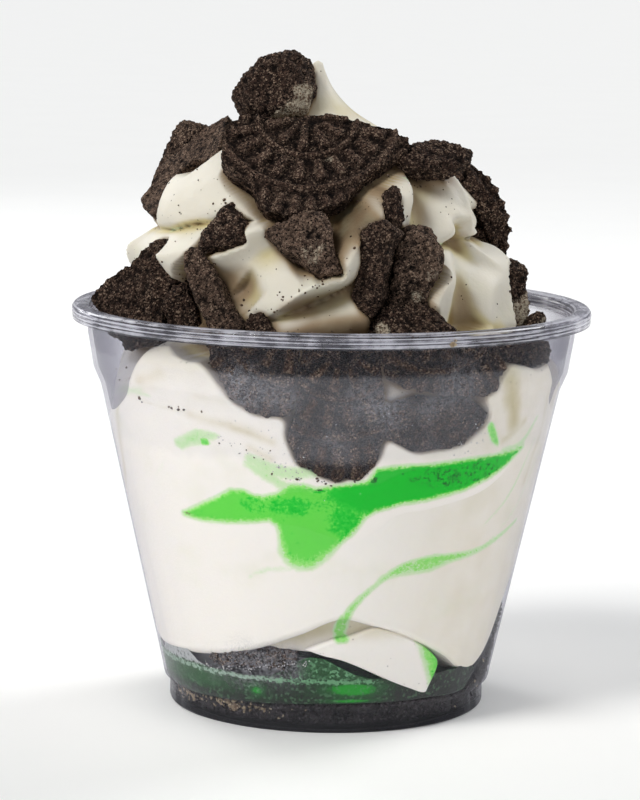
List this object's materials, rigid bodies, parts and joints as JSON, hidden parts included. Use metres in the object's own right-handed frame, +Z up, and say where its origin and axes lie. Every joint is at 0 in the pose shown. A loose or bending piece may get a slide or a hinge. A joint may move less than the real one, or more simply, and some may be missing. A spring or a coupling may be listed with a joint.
{
  "type": "soft-serve sundae",
  "caption": "Soft-serve ice cream swirl in a squat clear cup, topped and layered with broken dark sandwich cookies, cookie crumbs and green mint syrup",
  "frame": {"origin": "centre of the cup's foot, on the surface it stands on", "axes": "+Z up along the cup's axis, -Y towards the viewer of the picture, +X to the viewer's right"},
  "size_m": [0.092, 0.092, 0.1158],
  "materials": {
    "cup": "clear polished plastic",
    "cream": "soft moist satin",
    "cookie": "dry crumbly",
    "crumbs": "dry crumbly",
    "syrup": "wet gloss",
    "syrup_deep": "wet gloss"
  },
  "bodies": {
    "root": {"cookie_chip_front": "cookie", "cookie_chip_in_cup_left": "cookie", "cookie_chip_in_cup_right": "cookie", "cookie_chip_right": "cookie", "cookie_chip_rim_right": "cookie", "cookie_chunk_left": "cookie", "cookie_chunk_rim": "cookie", "cookie_crumbs": "crumbs", "cookie_half_wafer_front": "cookie", "cookie_lump_filled_right": "cookie", "cookie_lump_front_right": "cookie", "cookie_lump_low_left": "cookie", "cookie_lump_right": "cookie", "cookie_lump_top": "cookie", "cookie_piece_behind_1": "cookie", "cookie_piece_behind_2": "cookie", "cookie_piece_behind_3": "cookie", "cookie_piece_behind_4": "cookie", "cookie_piece_behind_5": "cookie", "cookie_piece_behind_6": "cookie", "cookie_piece_behind_7": "cookie", "cookie_piece_in_cup_left": "cookie", "cookie_piece_in_cup_low": "cookie", "cookie_piece_in_cup_right": "cookie", "cookie_piece_left": "cookie", "cookie_piece_middle": "cookie", "cookie_shard_left": "cookie", "cookie_slab_leaning": "cookie", "cookie_slab_left": "cookie", "cookie_slab_upright": "cookie", "cookie_wafer_bottom": "cookie", "cookie_wafer_in_cup_middle": "cookie", "cookie_wafer_right": "cookie", "cup": "cup", "ice_cream": "cream", "syrup_pool": "syrup_deep", "syrup_ribbon": "syrup"}
  },
  "joints": []
}
